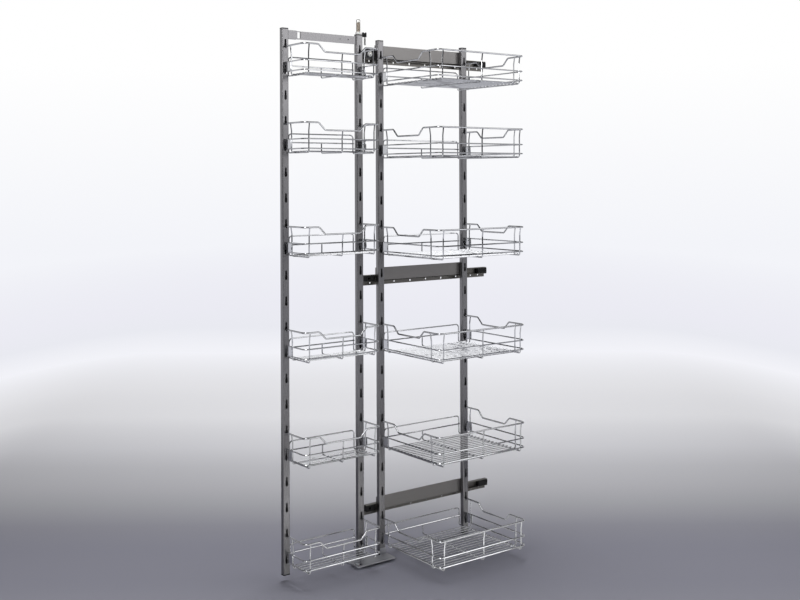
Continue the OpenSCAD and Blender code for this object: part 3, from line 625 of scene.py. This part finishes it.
# it grows pale before and beyond the set, and from 1.6 m out to both sides of it, so the
# darker grey round the set is painted shade
beyond = add(tree, "ShaderNodeVectorMath", {"operation": "DOT_PRODUCT"},
             i0=(centred, "Vector"), i1=(math.sin(LOOK), math.cos(LOOK), 0))
across = add(tree, "ShaderNodeVectorMath", {"operation": "DOT_PRODUCT"},
             i0=(centred, "Vector"), i1=(math.cos(LOOK), -math.sin(LOOK), 0))
beside = add(tree, "ShaderNodeMath", {"operation": "ABSOLUTE"}, i0=(across, "Value"))
edge = add(tree, "ShaderNodeMapRange", Value=(beside, "Value"),
           i1=1.6, i2=6.5, i3=0.0, i4=FLOOR_R)
both_ways = add(tree, "ShaderNodeCombineXYZ", X=(beyond, "Value"), Y=(edge, "Result"))
far = add(tree, "ShaderNodeVectorMath", {"operation": "LENGTH"}, i0=(both_ways, "Vector"))
share = add(tree, "ShaderNodeMapRange", Value=(far, "Value"),
            i1=0.0, i2=FLOOR_R, i3=0.0, i4=1.0)
tones = add(tree, "ShaderNodeValToRGB", Fac=(share, "Result"))
stops = tones.color_ramp.elements  # it starts with two, at 0 and 1
for metres, code in PAPER_TONES_WITH_PAINTED_SHADE:
    ends = {0.0: 0, FLOOR_R: -1}
    stop = stops[ends[metres]] if metres in ends else stops.new(metres / FLOOR_R)
    stop.color = colour(code)
# the grey of the ramp near the set is painted shade under the lamps' own shading
matt = add(tree, "ShaderNodeBsdfDiffuse", Color=(tones, "Color"))
glow = add(tree, "ShaderNodeEmission", Color=(tones, "Color"), Strength=1.0)
# further out than the object's shadow falls, what is seen directly is the plain tone
fade = add(tree, "ShaderNodeMapRange", Value=(far, "Value"), i1=1.2, i2=4.0, i3=0.0, i4=1.0)
plain = add(tree, "ShaderNodeMath", {"operation": "MULTIPLY"}, i0=seen_rays(tree),
            i1=(fade, "Result"))
both = add(tree, "ShaderNodeMixShader", i0=(plain, "Value"), i1=(matt, "BSDF"),
           i2=(glow, "Emission"))
add(tree, "ShaderNodeOutputMaterial", Surface=(both, "Shader"))
floor.data.materials.append(paper)


def card_face(name, kind, **values):
    """A card's material, of one shader node."""
    made, tree = blank(name)
    add(tree, "ShaderNodeOutputMaterial", Surface=(add(tree, kind, **values), 0))
    return made


def card(name, place, turn, wide, high, face):
    """A flat card, standing or lying down, that only shows in reflections."""
    bpy.ops.mesh.primitive_plane_add(size=1, location=place, rotation=turn)
    bpy.context.object.scale = (wide, high, 1)
    sheet = started(name)
    sheet.data.materials.append(face)
    sheet.visible_camera = sheet.visible_diffuse = sheet.visible_shadow = False


# Dark flags stand round the set, so that bright metal has something dark to mirror.
FLAG_AWAY = 3.7
# degrees from the camera's side, width, lowest and highest edge
FLAGS = ((-80, 2.0, 0.5, 2.8), (-42, 2.4, 0.5, 2.8), (0, 1.6, 0.5, 2.8),
         (36, 2.0, 0.5, 2.8), (70, 1.4, 0.5, 0.85), (104, 1.6, 0.5, 2.8))
flag_cloth = card_face("flag_cloth", "ShaderNodeBsdfDiffuse", Color=colour("#2a2a2c"))
for i, (degrees, wide, bottom, top) in enumerate(FLAGS, 1):
    turn = math.radians(degrees) - LOOK
    spot = (CENTRE[0] + FLAG_AWAY * math.sin(turn), CENTRE[1] - FLAG_AWAY * math.cos(turn),
            (bottom + top) / 2)
    card(f"flag_{i}", spot, (math.pi / 2, 0, turn), wide, top - bottom, flag_cloth)

# A white card lies in front of the set for the posts, a lit one for the lowest wires,
# and a bright one hangs up on the left for the wires' corners and slopes.
card("bounce_card", (-0.65, -1.53, 0.003), (0, 0, 0), 2.9, 3.0,
     card_face("white_card", "ShaderNodeBsdfDiffuse", Color=colour("#fafafa")))
card("low_lit_card", (-0.05, -0.55, 0.004), (0, 0, 0), 0.9, 0.4,
     card_face("lit_card", "ShaderNodeEmission", Strength=1.5))
card("high_lit_card", (-1.2, -0.8, 2.4), (math.radians(18), math.radians(-28), 0), 1.0, 1.0,
     card_face("high_card", "ShaderNodeEmission", Strength=7.0))

# The lamps point at the set's middle, this high. Metal mirrors all but the one above.
AIM_H = 0.9
LAMPS = {  # name: place, size in metres, watts
    "soft_box_left": ((-2.6, -1.9, 2.1), 1.0, 28),
    "soft_box_right": ((1.2, -2.8, 2.15), 1.3, 9),
    "soft_box_high": ((2.5, -2.5, 2.65), 1.2, 12),
    "soft_box_above": ((0.25, 0.15, 3.6), 1.5, 82),
}
for name, (spot, size, watts) in LAMPS.items():
    lamp = bpy.data.lights.new(name, "AREA")
    lamp.size, lamp.energy = size, watts
    held = bpy.data.objects.new(name, lamp)
    held.location = spot
    held.visible_glossy = name != "soft_box_above"
    aim = Vector((CENTRE[0], CENTRE[1], AIM_H)) - held.location
    held.rotation_euler = aim.to_track_quat("-Z", "Y").to_euler()
    bpy.context.scene.collection.objects.link(held)

# The air gives a weak even light. Seen directly it is white, bluish at the floor's
# edge, and dims high up, where only the wires mirror it.
world = bpy.data.worlds.new("studio_air")
bpy.context.scene.world = world
world.use_nodes = True
tree = world.node_tree
tree.nodes.clear()
place = add(tree, "ShaderNodeTexCoord")
way = add(tree, "ShaderNodeSeparateXYZ", Vector=(place, "Generated"))
height = add(tree, "ShaderNodeMapRange", Value=(way, "Z"), i1=0.17, i2=0.5, i3=1.0, i4=0.1)
rise = add(tree, "ShaderNodeMapRange", Value=(way, "Z"), i1=-0.06, i2=0.1, i3=0.0, i4=1.0)
sky = add(tree, "ShaderNodeMix", {"data_type": "RGBA"}, Factor=(rise, "Result"),
          i6=colour("#f3f4f9"), i7=colour("#ffffff"))
backdrop = add(tree, "ShaderNodeBackground", Color=(sky, 2), Strength=(height, "Result"))
light = add(tree, "ShaderNodeBackground", Color=colour("#ffffff"), Strength=0.2)
both = add(tree, "ShaderNodeMixShader", i0=seen_rays(tree), i1=(light, "Background"),
           i2=(backdrop, "Background"))
add(tree, "ShaderNodeOutputWorld", Surface=(both, "Shader"))

# The photo's camera, solved from the posts and their slots; a little rolled.
CAMERA_AT, TILT, ROLL = (-1.887, -2.759, 1.192), math.radians(90.334), math.radians(-0.213)
lens = bpy.data.cameras.new("photo_lens")
lens.lens, lens.sensor_width, lens.shift_y = 48.42, 36, -0.1624
lens.clip_start, lens.clip_end = 0.05, 100
camera = bpy.data.objects.new("photo_camera", lens)
camera.matrix_world = (Matrix.Translation(CAMERA_AT) @ Matrix.Rotation(-LOOK, 4, "Z")
                       @ Matrix.Rotation(TILT, 4, "X") @ Matrix.Rotation(ROLL, 4, "Z"))
bpy.context.scene.collection.objects.link(camera)
bpy.context.scene.camera = camera
bpy.context.scene.view_settings.view_transform = "Standard"
